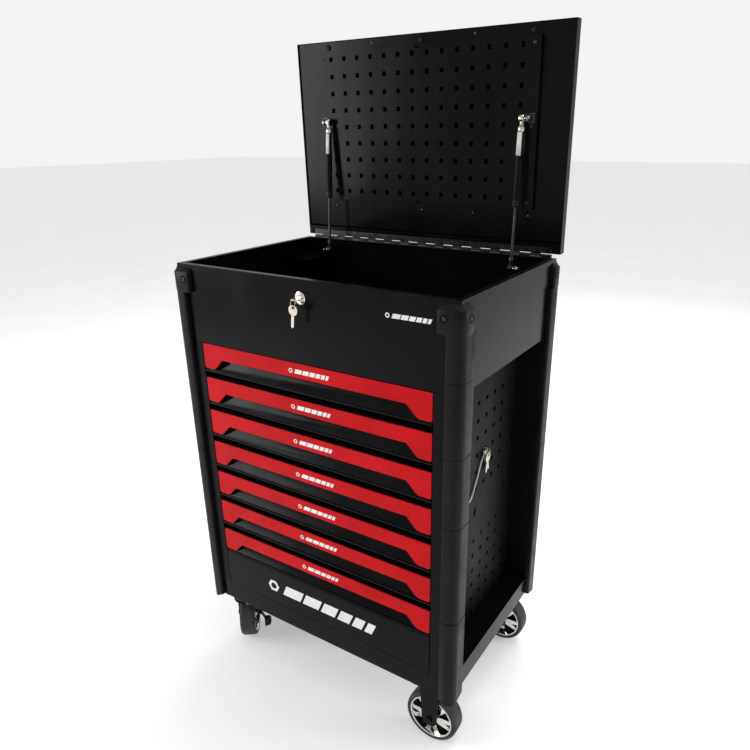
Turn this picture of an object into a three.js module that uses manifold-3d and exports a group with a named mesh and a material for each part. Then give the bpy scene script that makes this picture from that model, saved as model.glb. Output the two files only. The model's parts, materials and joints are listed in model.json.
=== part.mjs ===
// Roller tool cart: a sheet-metal cabinet with seven drawers and a lift-up lid on gas struts,
// standing on two fixed and two swivel casters.
// Units are millimetres. +X is right along the front, +Y is into the depth, +Z is up.
// The origin is on the floor, under the centre of the cart.

import * as THREE from 'three';
import { mergeGeometries, mergeVertices } from 'three/addons/utils/BufferGeometryUtils.js';
import Module from 'manifold-3d';

const wasm = await Module();
wasm.setup();

// ---------------------------------------------------------------- driving dimensions

const SHEET = 1.2;
const GAP = 0.3;

const CABINET_WIDTH = 700;
const CABINET_DEPTH = 460;
const HALF_WIDTH = CABINET_WIDTH / 2;
const HALF_DEPTH = CABINET_DEPTH / 2;

const BASE_BOTTOM = 160;
const BASE_HEIGHT = 50;
const TRAY_FLOOR_DROP = 5;
const BASE_TOP = BASE_BOTTOM + BASE_HEIGHT;
const TOP_BOX_BOTTOM = BASE_BOTTOM + 704;
const TOP_BOX_TOP = BASE_BOTTOM + 877.6;
const TOP_RIM_WIDTH = 12;

const SIDE_RECESS = 57;
const BAY_END_Y = 190;
const SIDE_HOLE_PITCH = 41;
const SIDE_HOLE_COLUMNS = 8;
const SIDE_HOLE_ROWS = 6;
const UPPER_ROWS_TOP = BASE_BOTTOM + 607;
const LOWER_ROWS_TOP = BASE_BOTTOM + 265;
const KEYHOLE_Z = BASE_BOTTOM + 341;
const PEG_HOLE = 10;

const DRAWER_COUNT = 7;
const DRAWER_PITCH = 81.27;
const FIRST_TRIM_TOP = BASE_BOTTOM + 701.8;
const FRONT_HALF_WIDTH = 297;
const OPENING_HALF_WIDTH = 299;
const TRIM_HEIGHT = 58.5;
const TRIM_THICKNESS = 3;
const FRONT_HEIGHT = 66;
const FRONT_DEPTH = 16.5;
const PULL_TOP_HALF = 241;
const PULL_BOTTOM_HALF = 266;
const PULL_TOP_DROP = 32.8;
const DRAWER_HALF_WIDTH = 274;
const DRAWER_BACK_Y = 178;
const DRAWER_SIDE_HEIGHT = 54;
const RAIL_HEIGHT = 30;
const KICK_TOP = BASE_BOTTOM + 146.4;

const POST_FRONT_X = 325;
const POST_SIDE_Y = 191;
const POST_BULGE = 10.5;
const POST_RADIUS = 20;
const POST_TOE_DROP = 13;
const POST_TOE_REACH = 24;
const CAP_FRONT_X = 308;
const CAP_SIDE_Y = 201;
const CAP_BOTTOM = BASE_BOTTOM + 818;
const CAP_TOP = BASE_BOTTOM + 871;

const LID_OPEN_ANGLE = THREE.MathUtils.degToRad(88.5);
const HINGE_Y = 239;
const HINGE_Z = BASE_BOTTOM + 879.4;
const HINGE_RADIUS = 3.5;
const HINGE_PIN_RADIUS = 1.6;
const HINGE_HALF_LENGTH = 335;
const HINGE_KNUCKLES = 27;
const HINGE_PLATE_HALF = 304;
const LID_HALF_WIDTH = 354.5;
const LID_LENGTH = 465.4;
const LID_DEPTH = 22;
const LINER_Z = 4;

const BOARD_HALF_WIDTH = 285;
const BOARD_START = 98;
const BOARD_END = 441;
const BOARD_PROUD = 5.5;
const BOARD_PITCH = 38;
const BOARD_COLUMNS = 14;
const BOARD_ROWS = 9;
const BOARD_FIRST_ROW = 121.6;

const STRUT_X = 256;
const STRUT_LID_REACH = 285.5;
const STRUT_LID_DROP = 16.5;
const STRUT_FOOT_Y = 197;
const STRUT_FOOT_Z = BASE_BOTTOM + 852;
const SOCKET_RADIUS = 7.5;
const SOCKET_WIDTH = 11;
const CYLINDER_LENGTH = 165;
const ROD_REACH = 205;

const LOCK_Z = BASE_BOTTOM + 841;
const KEY_THICKNESS = 2.2;
const KEY_HOLE_Y = -16;
const KEY_HOLE_RADIUS = 3.4;
const RING_WIRE = 0.7;
const SPARE_RING = 7;
const TIE_HOLE_Y = 20.5;
const TIE_HOLE_Z = UPPER_ROWS_TOP - 3 * SIDE_HOLE_PITCH;

const FIXED_CASTER_X = 293;
const SWIVEL_CASTER_X = 288;
const CASTER_Y = 192;
const CASTER_TRAIL = 35;
const WHEEL_RADIUS = 63.5;
const WHEEL_WIDTH = 41;
const WHEEL_SEGMENTS = 24;
const HUB_RADIUS = 53;
const AXLE_RADIUS = 5;
const FORK_GAP = 3;
const FORK_SHEET = 3;
const FORK_TOP_HALF = 25;
const FORK_FOOT_RADIUS = 19;
const PEDAL_REACH = 18;
const FRONT_LEFT_SWIVEL = THREE.MathUtils.degToRad(-53);
const REAR_LEFT_SWIVEL = THREE.MathUtils.degToRad(60);

// ---------------------------------------------------------------- materials

function finish(color, roughness, metalness) {
  return new THREE.MeshStandardMaterial({ color, roughness, metalness });
}

const blackPaint = finish(0x141414, 0.3, 0.1);
const redPaint = finish(0xc81016, 0.35, 0.05);
const blackPlastic = finish(0x1c1c1c, 0.6, 0.0);
const galvanised = finish(0x9a9a98, 0.4, 0.8);
const chrome = finish(0xd8d8d6, 0.15, 1.0);
const nickel = finish(0xc9c2a8, 0.25, 1.0);
const tyreRubber = finish(0x202020, 0.8, 0.0);
const whiteNylon = finish(0xe8e8e6, 0.5, 0.0);

// ---------------------------------------------------------------- solids

// A closed geometry as a manifold solid. Triangles that merging has shrunk to nothing are dropped.
function solidOf(geometry) {
  const bare = geometry.clone();
  bare.deleteAttribute('normal');
  bare.deleteAttribute('uv');
  const merged = mergeVertices(bare, 1e-4);
  const corners = merged.index.array;
  const triangles = [];
  for (let i = 0; i < corners.length; i += 3) {
    const [a, b, c] = corners.slice(i, i + 3);
    if (a !== b && b !== c && c !== a) {
      triangles.push(a, b, c);
    }
  }
  return new wasm.Manifold(new wasm.Mesh({
    numProp: 3,
    vertProperties: new Float32Array(merged.attributes.position.array),
    triVerts: new Uint32Array(triangles),
  }));
}

// A manifold solid as a three.js geometry.
function geometryOf(solid) {
  const mesh = solid.getMesh();
  const geometry = new THREE.BufferGeometry();
  geometry.setAttribute('position', new THREE.BufferAttribute(new Float32Array(mesh.vertProperties), 3));
  geometry.setIndex(new THREE.BufferAttribute(new Uint32Array(mesh.triVerts), 1));
  geometry.computeVertexNormals();
  return geometry;
}

function part(name, solid, material) {
  const mesh = new THREE.Mesh(geometryOf(solid), material);
  mesh.name = name;
  return mesh;
}

function union(solids) {
  return solids.reduce((sum, solid) => sum.add(solid));
}

// A box geometry between two limits on each axis, which its corners meet exactly.
function boxBetween(xs, ys, zs) {
  const geometry = new THREE.BoxGeometry(1, 1, 1);
  const corners = geometry.attributes.position.array;
  const spans = [xs, ys, zs].map((pair) => [Math.min(...pair), Math.max(...pair)]);
  for (let i = 0; i < corners.length; i += 1) {
    corners[i] = spans[i % 3][corners[i] < 0 ? 0 : 1];
  }
  return geometry;
}

// A solid box; each pair of limits may be given in either order.
function block(xs, ys, zs) {
  return solidOf(boxBetween(xs, ys, zs));
}

function outline(points) {
  return new THREE.Shape(points.map(([a, b]) => new THREE.Vector2(a, b)));
}

function extruded(shape, depth, basis, origin) {
  const geometry = new THREE.ExtrudeGeometry(shape, { depth, bevelEnabled: false, curveSegments: 4 });
  const frame = new THREE.Matrix4().makeBasis(...basis).setPosition(...origin);
  return solidOf(geometry.applyMatrix4(frame));
}

const X = new THREE.Vector3(1, 0, 0);
const Y = new THREE.Vector3(0, 1, 0);
const Z = new THREE.Vector3(0, 0, 1);

// A (y, z) outline swept along X, an (x, z) outline along Y and an (x, y) outline along Z.
function prismX(shape, from, to) {
  return extruded(shape, to - from, [Y, Z, X], [from, 0, 0]);
}

function prismY(shape, from, to) {
  return extruded(shape, to - from, [X, Z, Y.clone().negate()], [0, to, 0]);
}

function prismZ(shape, from, to) {
  return extruded(shape, to - from, [X, Y, Z], [0, 0, from]);
}

// A solid of revolution: the (radius, height) profile turns about the given axis.
function turned(profile, axis, centre, segments) {
  const points = profile.map(([radius, height]) => new THREE.Vector2(radius, height));
  const geometry = new THREE.LatheGeometry(points, segments);
  geometry.rotateY(Math.PI / segments);
  geometry.applyQuaternion(new THREE.Quaternion().setFromUnitVectors(Y, axis));
  geometry.translate(...centre);
  return solidOf(geometry);
}

// A round bar along an axis, from and to being distances along it from the centre.
function bar(radius, from, to, axis, centre = [0, 0, 0], segments = 16) {
  return turned([[0, from], [radius, from], [radius, to], [0, to]], axis, centre, segments);
}

// Equal boxes of the given size round a list of centres, as one solid to cut holes with.
function punches(size, centres) {
  const boxes = centres.map((centre) => boxBetween(
    ...centre.map((middle, axis) => [middle - size[axis] / 2, middle + size[axis] / 2]),
  ));
  return solidOf(mergeGeometries(boxes));
}

function centred(count, pitch) {
  return Array.from({ length: count }, (_, i) => (i - (count - 1) / 2) * pitch);
}

// ---------------------------------------------------------------- cabinet shell

function baseTray() {
  const floor = [BASE_TOP - TRAY_FLOOR_DROP - SHEET, BASE_TOP - TRAY_FLOOR_DROP];
  const wall = 1.5;
  const inner = [HALF_WIDTH - wall, HALF_DEPTH - wall];
  const shell = block([-HALF_WIDTH, HALF_WIDTH], [-HALF_DEPTH, HALF_DEPTH], [BASE_BOTTOM, BASE_TOP]);
  const hollow = block([-inner[0], inner[0]], [-inner[1], inner[1]], [BASE_BOTTOM + wall, BASE_TOP + 1]);
  const underside = block([-190, 190], [-100, 100], [BASE_BOTTOM - 1, BASE_BOTTOM + wall + 1]);
  const deck = block([-HALF_WIDTH + 0.5, HALF_WIDTH - 0.5], [-HALF_DEPTH + 0.5, HALF_DEPTH - 0.5], floor);
  return shell.subtract(hollow).subtract(underside).add(deck);
}

function topBox() {
  const floorTop = TOP_BOX_BOTTOM + 6;
  const outer = block([-HALF_WIDTH, HALF_WIDTH], [-HALF_DEPTH, HALF_DEPTH], [TOP_BOX_BOTTOM, TOP_BOX_TOP]);
  const innerX = HALF_WIDTH - SHEET;
  const innerY = HALF_DEPTH - SHEET;
  const rimX = innerX - TOP_RIM_WIDTH;
  const rimY = innerY - TOP_RIM_WIDTH;
  const well = block([-innerX, innerX], [-innerY, innerY], [floorTop, TOP_BOX_TOP - SHEET]);
  const mouth = block([-rimX, rimX], [-rimY, rimY], [floorTop, TOP_BOX_TOP + 1]);
  const under = block([-innerX, innerX], [-innerY, innerY], [TOP_BOX_BOTTOM - 1, floorTop - SHEET]);
  const lockHole = bar(10, -HALF_DEPTH - 5, -HALF_DEPTH + 5, Y, [0, 0, LOCK_Z]);
  return outer.subtract(well).subtract(mouth).subtract(under).subtract(lockHole);
}

function backPanel() {
  const edge = HALF_WIDTH - 0.5;
  return block([-edge, edge], [HALF_DEPTH - SHEET, HALF_DEPTH], [BASE_TOP + GAP, TOP_BOX_BOTTOM - GAP]);
}

// The left side wall: perforated, with two outward flanges that close the ends of the side bay.
function leftSidePanel() {
  const face = SIDE_RECESS - HALF_WIDTH;
  const edge = 0.5 - HALF_WIDTH;
  const zs = [BASE_TOP + GAP, TOP_BOX_BOTTOM - GAP];
  const wall = block([face, face + SHEET], [-BAY_END_Y, BAY_END_Y], zs);
  const flanges = [-1, 1].flatMap((end) => [
    block([edge, face + SHEET], [end * (BAY_END_Y - SHEET), end * BAY_END_Y], zs),
    block([edge, edge + SHEET], [end * (BAY_END_Y - SHEET), end * (HALF_DEPTH - SHEET - GAP)], zs),
  ]);
  const rows = [UPPER_ROWS_TOP, LOWER_ROWS_TOP].flatMap(
    (top) => Array.from({ length: SIDE_HOLE_ROWS }, (_, row) => top - row * SIDE_HOLE_PITCH),
  );
  const columns = centred(SIDE_HOLE_COLUMNS, SIDE_HOLE_PITCH);
  const holes = rows.flatMap((z) => columns.map((y) => [face, y, z]));
  const keyholes = [columns[0], columns[3], columns[7]].map((y) => [face, y, KEYHOLE_Z]);
  const heads = keyholes.map(([x, y, z]) => [x, y, z + 5]);
  return union([wall, ...flanges])
    .subtract(punches([10, PEG_HOLE, PEG_HOLE], holes))
    .subtract(punches([10, 6, 24], keyholes).add(punches([10, 11, 12], heads)));
}

function trimTop(index) {
  return FIRST_TRIM_TOP - index * DRAWER_PITCH;
}

// Two front uprights, joined by a rail in the gap under each drawer.
function frontFrame() {
  const bottom = BASE_TOP + GAP;
  const top = TOP_BOX_BOTTOM - GAP;
  const zs = [bottom, top];
  const solids = [-1, 1].flatMap((side) => {
    const edge = side * OPENING_HALF_WIDTH;
    return [
      block([edge, side * (HALF_WIDTH - 0.5)], [-HALF_DEPTH, -HALF_DEPTH + SHEET], zs),
      block([edge, edge + side * SHEET], [-HALF_DEPTH, -195], zs),
    ];
  });
  for (let index = 0; index < DRAWER_COUNT; index += 1) {
    const railTop = trimTop(index) - FRONT_HEIGHT - 1.5;
    const railBottom = index === DRAWER_COUNT - 1 ? KICK_TOP + 1 : railTop - 12;
    const reach = OPENING_HALF_WIDTH + 1;
    solids.push(block([-reach, reach], [-208, -208 + SHEET], [railBottom, railTop]));
  }
  return union(solids);
}

// The fixed panel under the drawers: a shallow pan with folded edges.
function kickPanel() {
  const zs = [BASE_TOP + 1, KICK_TOP];
  const outer = block([-FRONT_HALF_WIDTH, FRONT_HALF_WIDTH], [-HALF_DEPTH, -HALF_DEPTH + 16], zs);
  const hollow = block(
    [-FRONT_HALF_WIDTH + SHEET, FRONT_HALF_WIDTH - SHEET],
    [-HALF_DEPTH + SHEET, -HALF_DEPTH + 20],
    [zs[0] + SHEET, zs[1] - SHEET],
  );
  return outer.subtract(hollow);
}

// The outline of a corner post, wrapped round one corner of the cabinet from frontX to edgeY.
function postOutline(sideX, sideY, frontX, edgeY, grow) {
  const innerX = HALF_WIDTH + GAP;
  const innerY = HALF_DEPTH + GAP;
  const outerX = HALF_WIDTH + POST_BULGE + grow;
  const outerY = HALF_DEPTH + POST_BULGE + grow;
  const points = [
    [innerX, innerY],
    [frontX - grow, innerY],
    [frontX - grow, outerY - 5],
    [frontX - grow + 5, outerY],
  ];
  for (let step = 0; step <= 6; step += 1) {
    const angle = Math.PI / 2 * (1 - step / 6);
    points.push([
      outerX - POST_RADIUS + POST_RADIUS * Math.cos(angle),
      outerY - POST_RADIUS + POST_RADIUS * Math.sin(angle),
    ]);
  }
  points.push([outerX, edgeY - grow + 5], [outerX - 5, edgeY - grow], [innerX, edgeY - grow]);
  return outline(points.map(([x, y]) => [sideX * x, sideY * y]));
}

// A moulded corner post with a cap at its head, and a toe that dips below the base at its corner.
function cornerPost(sideX, sideY) {
  const post = (grow) => postOutline(sideX, sideY, POST_FRONT_X, POST_SIDE_Y, grow);
  const head = (grow) => postOutline(sideX, sideY, CAP_FRONT_X, CAP_SIDE_Y, grow);
  const toeBottom = BASE_BOTTOM - POST_TOE_DROP;
  const outerX = HALF_WIDTH + POST_BULGE;
  const outerY = HALF_DEPTH + POST_BULGE;
  const toeRegion = block(
    [sideX * (outerX - POST_TOE_REACH), sideX * (outerX + 1)],
    [sideY * (outerY - POST_TOE_REACH), sideY * (outerY + 1)],
    [toeBottom - 1, BASE_BOTTOM + 2],
  );
  return union([
    prismZ(post(0), BASE_BOTTOM, CAP_BOTTOM + 1),
    prismZ(post(0), toeBottom, BASE_BOTTOM + 1).intersect(toeRegion),
    prismZ(head(0.5), CAP_BOTTOM, CAP_TOP - 6),
    prismZ(head(-2), CAP_TOP - 7, CAP_TOP),
  ]);
}

// ---------------------------------------------------------------- drawers

// The fixed halves of the drawer slides on one side, on two upright straps.
function slideBank(side) {
  const wall = HALF_WIDTH - SIDE_RECESS - SHEET - GAP;
  const railInner = DRAWER_HALF_WIDTH + 7;
  const solids = [-150, 140].map((y) => block(
    [side * (wall - 2), side * wall],
    [y, y + 30],
    [trimTop(DRAWER_COUNT - 1) - FRONT_HEIGHT, trimTop(0) - 10],
  ));
  for (let index = 0; index < DRAWER_COUNT; index += 1) {
    const z = trimTop(index) - FRONT_HEIGHT / 2;
    const zs = [z - RAIL_HEIGHT / 2, z + RAIL_HEIGHT / 2];
    solids.push(block([side * railInner, side * (wall - 1)], [-190, DRAWER_BACK_Y], zs));
  }
  return union(solids);
}

// The pull recess of a drawer front: a trapezoid window that slopes out to the lower lip.
// Grown by the sheet thickness it is the recess's outer skin, which starts at the front's face.
function pullRecess(top, grow) {
  const head = top - PULL_TOP_DROP + grow;
  const foot = top - FRONT_HEIGHT + 4.5 - grow;
  const face = -HALF_DEPTH + TRIM_THICKNESS + GAP;
  const mouth = grow > 0 ? face : -HALF_DEPTH - 10;
  const back = face + FRONT_DEPTH - 3 + grow;
  const window = outline([
    [-PULL_TOP_HALF - grow, head],
    [-PULL_BOTTOM_HALF - grow, foot],
    [PULL_BOTTOM_HALF + grow, foot],
    [PULL_TOP_HALF + grow, head],
  ]);
  const section = outline([
    [mouth, head], [back, head], [back, head - 12], [face + grow, foot], [mouth, foot],
  ]);
  return prismY(window, mouth, back + 1).intersect(prismX(section, -HALF_WIDTH, HALF_WIDTH));
}

// One drawer: folded front with the pull recess, open tray, and the moving halves of its slides.
function drawer(index) {
  const top = trimTop(index);
  const face = -HALF_DEPTH + TRIM_THICKNESS + GAP;
  const rear = face + FRONT_DEPTH;
  const low = top - FRONT_HEIGHT;
  const frontShell = block([-FRONT_HALF_WIDTH, FRONT_HALF_WIDTH], [face, rear], [low, top]);
  const frontHollow = block(
    [-FRONT_HALF_WIDTH + SHEET, FRONT_HALF_WIDTH - SHEET],
    [face + SHEET, rear + 1],
    [low + SHEET, top - SHEET],
  );
  const lip = block([-FRONT_HALF_WIDTH, FRONT_HALF_WIDTH], [-HALF_DEPTH, face + SHEET], [low, low + 4]);
  const skin = frontShell.subtract(frontHollow).add(pullRecess(top, SHEET)).add(lip);
  const front = skin.subtract(pullRecess(top, 0));

  const inset = FRONT_HALF_WIDTH - 9;
  const rearWall = block([-inset, inset], [rear - SHEET, rear], [low, top]);

  const floor = low + 2;
  const trayOuter = block(
    [-DRAWER_HALF_WIDTH, DRAWER_HALF_WIDTH],
    [rear - SHEET, DRAWER_BACK_Y],
    [floor, floor + DRAWER_SIDE_HEIGHT],
  );
  const trayInner = block(
    [-DRAWER_HALF_WIDTH + SHEET, DRAWER_HALF_WIDTH - SHEET],
    [rear, DRAWER_BACK_Y - SHEET],
    [floor + SHEET, floor + DRAWER_SIDE_HEIGHT + 1],
  );
  const railMiddle = top - FRONT_HEIGHT / 2;
  const rails = [-1, 1].map((side) => block(
    [side * (DRAWER_HALF_WIDTH - 0.5), side * (DRAWER_HALF_WIDTH + 7 - GAP)],
    [rear + 2, DRAWER_BACK_Y],
    [railMiddle - 8, railMiddle + 8],
  ));
  return union([front, rearWall, trayOuter.subtract(trayInner), ...rails]);
}

// The coloured trim on a drawer front: two legs with rounded feet joined by a bar.
function drawerTrim(index) {
  const top = trimTop(index);
  const bottom = top - TRIM_HEIGHT;
  const head = top - PULL_TOP_DROP;
  const foot = 6;
  const shape = new THREE.Shape();
  shape.moveTo(-FRONT_HALF_WIDTH, top);
  shape.lineTo(-FRONT_HALF_WIDTH, bottom + foot);
  shape.quadraticCurveTo(-FRONT_HALF_WIDTH, bottom, -FRONT_HALF_WIDTH + foot, bottom);
  shape.lineTo(-PULL_BOTTOM_HALF - foot, bottom);
  shape.quadraticCurveTo(-PULL_BOTTOM_HALF, bottom, -PULL_BOTTOM_HALF + foot, bottom + foot);
  shape.lineTo(-PULL_TOP_HALF, head);
  shape.lineTo(PULL_TOP_HALF, head);
  shape.lineTo(PULL_BOTTOM_HALF - foot, bottom + foot);
  shape.quadraticCurveTo(PULL_BOTTOM_HALF, bottom, PULL_BOTTOM_HALF + foot, bottom);
  shape.lineTo(FRONT_HALF_WIDTH - foot, bottom);
  shape.quadraticCurveTo(FRONT_HALF_WIDTH, bottom, FRONT_HALF_WIDTH, bottom + foot);
  shape.lineTo(FRONT_HALF_WIDTH, top);
  return prismY(shape, -HALF_DEPTH, -HALF_DEPTH + TRIM_THICKNESS);
}

// ---------------------------------------------------------------- lid and hinge

// The lid is modelled closed, from its hinge axis: -Y runs to its front edge, +Z is its outside.
// Its liner stops short of the hinge flange, so the space between the two skins stays open.
function lidPan() {
  const back = -HINGE_RADIUS - 1;
  const outer = block([-LID_HALF_WIDTH, LID_HALF_WIDTH], [-LID_LENGTH, back], [0, LID_DEPTH]);
  const hollow = block(
    [-LID_HALF_WIDTH + SHEET, LID_HALF_WIDTH - SHEET],
    [-LID_LENGTH + SHEET, back - SHEET],
    [-1, LID_DEPTH - SHEET],
  );
  const inset = LID_HALF_WIDTH - 1;
  const hingeFlange = block([-inset, inset], [back - 22, back - 0.5], [0, SHEET]);
  const liner = block([-inset, inset], [1 - LID_LENGTH, back - 26], [LINER_Z, LINER_Z + SHEET]);
  return outer.subtract(hollow).add(hingeFlange).add(liner);
}

function lidPegboard() {
  const shape = new THREE.Shape();
  const notch = 15;
  const depth = 6;
  shape.moveTo(-BOARD_HALF_WIDTH, -BOARD_END);
  shape.lineTo(-notch, -BOARD_END);
  shape.lineTo(-notch + depth, -BOARD_END + depth);
  shape.lineTo(notch - depth, -BOARD_END + depth);
  shape.lineTo(notch, -BOARD_END);
  shape.lineTo(BOARD_HALF_WIDTH, -BOARD_END);
  shape.lineTo(BOARD_HALF_WIDTH, -BOARD_START);
  shape.lineTo(notch, -BOARD_START);
  shape.lineTo(notch - depth, -BOARD_START - depth);
  shape.lineTo(depth - notch, -BOARD_START - depth);
  shape.lineTo(-notch, -BOARD_START);
  shape.lineTo(-BOARD_HALF_WIDTH, -BOARD_START);
  const rows = Array.from({ length: BOARD_ROWS }, (_, row) => -BOARD_FIRST_ROW - row * BOARD_PITCH);
  const columns = centred(BOARD_COLUMNS, BOARD_PITCH);
  const centres = rows.flatMap((y) => columns.map((x) => [x, y, -BOARD_PROUD]));
  const holes = punches([PEG_HOLE, PEG_HOLE, 10], centres);
  const face = prismZ(shape, -BOARD_PROUD, -BOARD_PROUD + SHEET).subtract(holes);
  const flanges = [-1, 1].map((side) => block(
    [side * (BOARD_HALF_WIDTH - SHEET), side * BOARD_HALF_WIDTH],
    [-BOARD_END, -BOARD_START],
    [-BOARD_PROUD, LINER_Z - GAP],
  ));
  return union([face, ...flanges]);
}

// The knuckles of one hinge leaf: every second one along the barrel.
function knuckles(first) {
  const length = 2 * HINGE_HALF_LENGTH / HINGE_KNUCKLES;
  const spans = [];
  for (let index = first; index < HINGE_KNUCKLES; index += 2) {
    const from = -HINGE_HALF_LENGTH + index * length;
    spans.push([from + GAP, from + length - GAP]);
  }
  return spans;
}

// The cabinet's leaf carries the hinge pin. The origin is on the hinge axis.
function hingeLeafBody() {
  const wallY = HALF_DEPTH + GAP - HINGE_Y;
  const barrels = knuckles(0).flatMap(([from, to]) => [
    bar(HINGE_RADIUS, from, to, X, [0, 0, 0], 8),
    block([from, to], [wallY + 0.2, 0], [-HINGE_RADIUS + 0.1, -HINGE_RADIUS + 1.3]),
  ]);
  const reach = HINGE_HALF_LENGTH - GAP;
  const spine = block([-reach, reach], [wallY, wallY + 2], [-HINGE_RADIUS, -2.2]);
  const plate = block([-HINGE_PLATE_HALF, HINGE_PLATE_HALF], [wallY, wallY + SHEET], [-30, -2.2]);
  const pin = bar(HINGE_PIN_RADIUS, -HINGE_HALF_LENGTH + 1, HINGE_HALF_LENGTH - 1, X, [0, 0, 0], 8);
  return union([spine, plate, pin, ...barrels]);
}

function hingeLeafLid() {
  const start = -HINGE_RADIUS - 1.4;
  const leaf = [-GAP - SHEET, -GAP];
  const barrels = knuckles(1).flatMap(([from, to]) => [
    bar(HINGE_RADIUS, from, to, X, [0, 0, 0], 8),
    block([from, to], [start - 1, -1.5], leaf),
  ]);
  const plate = block([-HINGE_HALF_LENGTH, HINGE_HALF_LENGTH], [-18, start], leaf);
  const bore = bar(HINGE_PIN_RADIUS + 0.5, -HINGE_HALF_LENGTH - 1, HINGE_HALF_LENGTH + 1, X, [0, 0, 0], 8);
  return union([plate, ...barrels]).subtract(bore);
}

// The bracket on the lid that carries the upper stud of a gas strut.
function lidStud(side) {
  const foot = [-BOARD_PROUD - GAP - 1.5, -BOARD_PROUD - GAP];
  const ear = [-STRUT_LID_DROP - 8, foot[1]];
  const y = -STRUT_LID_REACH;
  const axis = X.clone().multiplyScalar(side);
  const pivot = [0, y, -STRUT_LID_DROP];
  return union([
    block([side * 266, side * 281], [y - 10, y + 10], foot),
    block([side * 266, side * 268], [y - 8, y + 8], ear),
    bar(3, 262, 267, axis, pivot, 12),
    bar(5, 267, 273, axis, pivot, 6),
  ]);
}

// ---------------------------------------------------------------- gas struts

// The bracket inside the top box: a shelf from the side wall, with an ear for the lower stud.
function strutBracket(side) {
  const shelfZ = STRUT_FOOT_Z - 14;
  const wall = HALF_WIDTH - SHEET - GAP;
  const axis = X.clone().multiplyScalar(side);
  const foot = [0, STRUT_FOOT_Y, STRUT_FOOT_Z];
  return union([
    block([side * 266, side * wall], [120, 222], [shelfZ - 2, shelfZ]),
    block([side * (wall - 2), side * wall], [120, 222], [shelfZ - 24, shelfZ]),
    block([side * 266, side * 268], [STRUT_FOOT_Y - 9, STRUT_FOOT_Y + 9], [shelfZ - 1, STRUT_FOOT_Z + 8]),
    bar(3.4, STRUT_X - SOCKET_WIDTH / 2 + 1, 267, axis, foot, 12),
    bar(5, 267, 273, axis, foot, 6),
  ]);
}

// Strut parts are modelled upright, from the lower pivot.
function strutRod() {
  const half = SOCKET_WIDTH / 2;
  const ring = turned(
    [[4.2, -half], [SOCKET_RADIUS, -half], [SOCKET_RADIUS, half], [4.2, half], [4.2, -half]],
    X, [0, 0, 0], 16,
  );
  const collar = bar(4.5, SOCKET_RADIUS - 1.5, 18, Z, [0, 0, 0], 12);
  const rod = bar(3, 12, ROD_REACH, Z, [0, 0, 0], 12);
  return union([ring, collar, rod]);
}

function strutCylinder(length) {
  const crown = length - SOCKET_RADIUS - 8;
  const mouth = crown - CYLINDER_LENGTH;
  const tube = turned([
    [0, crown - 8], [6, crown - 8], [6, mouth + 8], [3.5, mouth + 8], [3.5, mouth],
    [7.5, mouth], [7.5, crown], [4.5, crown + 3], [4.5, length - 2], [0, length - 2],
  ], Z, [0, 0, 0], 16);
  const socket = bar(SOCKET_RADIUS, -SOCKET_WIDTH / 2, SOCKET_WIDTH / 2, X, [0, 0, length], 16);
  return union([tube, socket]);
}

// ---------------------------------------------------------------- lock and keys

// The origin of the lock parts is on the lock axis, at the front panel's outer face.
function lockBarrel() {
  return turned([
    [6.6, 28], [6.6, -4], [10, -4], [13, -2.5], [13, -GAP], [9.7, -GAP], [9.7, 28], [6.6, 28],
  ], Y, [0, 0, 0], 16);
}

// A key bow with a hole, its thin direction along Z; the blade runs towards +Y.
function keyShape(bladeLength) {
  const shape = new THREE.Shape();
  shape.moveTo(-3.5, 0);
  shape.lineTo(-3.5, -1);
  shape.quadraticCurveTo(-11, -3, -11, -11);
  shape.quadraticCurveTo(-11, -21, 0, -21);
  shape.quadraticCurveTo(11, -21, 11, -11);
  shape.quadraticCurveTo(11, -3, 3.5, -1);
  shape.lineTo(3.5, 0);
  shape.lineTo(3.5, bladeLength - 4);
  shape.lineTo(0, bladeLength);
  shape.lineTo(-3.5, bladeLength - 4);
  const hole = new THREE.Path();
  hole.absarc(0, KEY_HOLE_Y, KEY_HOLE_RADIUS, 0, 2 * Math.PI, true);
  shape.holes.push(hole);
  return shape;
}

function lockPlugWithKey() {
  const plug = bar(6.2, -4.5, 32, Y, [0, 0, 0], 20);
  const cam = block([-6, 6], [29, 31], [-24, 4]);
  const key = prismZ(keyShape(6), -KEY_THICKNESS / 2, KEY_THICKNESS / 2);
  const keyMatrix = new THREE.Matrix4().makeTranslation(0, -3, 0);
  return union([plug, cam, key.transform(keyMatrix.toArray())]);
}

// A wire ring round the origin, with its axis along X.
function keyRing(radius) {
  const profile = [];
  for (let step = 0; step < 5; step += 1) {
    const angle = 2 * Math.PI * step / 5;
    profile.push([radius + RING_WIRE * Math.cos(angle), RING_WIRE * Math.sin(angle)]);
  }
  profile.push([...profile[0]]);
  return turned(profile, X, [0, 0, 0], 16);
}

// A key in a plane across Y, hanging by its bow from the bottom of a ring and resting on its wire.
function hangingKey(ringRadius, y, lean) {
  const matrix = new THREE.Matrix4()
    .makeTranslation(0, y, -ringRadius - 3)
    .multiply(new THREE.Matrix4().makeRotationY(lean))
    .multiply(new THREE.Matrix4().makeRotationX(-Math.PI / 2))
    .multiply(new THREE.Matrix4().makeTranslation(0, -KEY_HOLE_Y, 0));
  const key = prismZ(keyShape(26), -KEY_THICKNESS / 2, KEY_THICKNESS / 2);
  return key.transform(matrix.toArray());
}

// ---------------------------------------------------------------- casters

// Caster parts are modelled round the plate centre, with the axle along Y and the floor at z = 0.
const WHEEL_CORNER = 1 / Math.cos(Math.PI / WHEEL_SEGMENTS);

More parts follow.
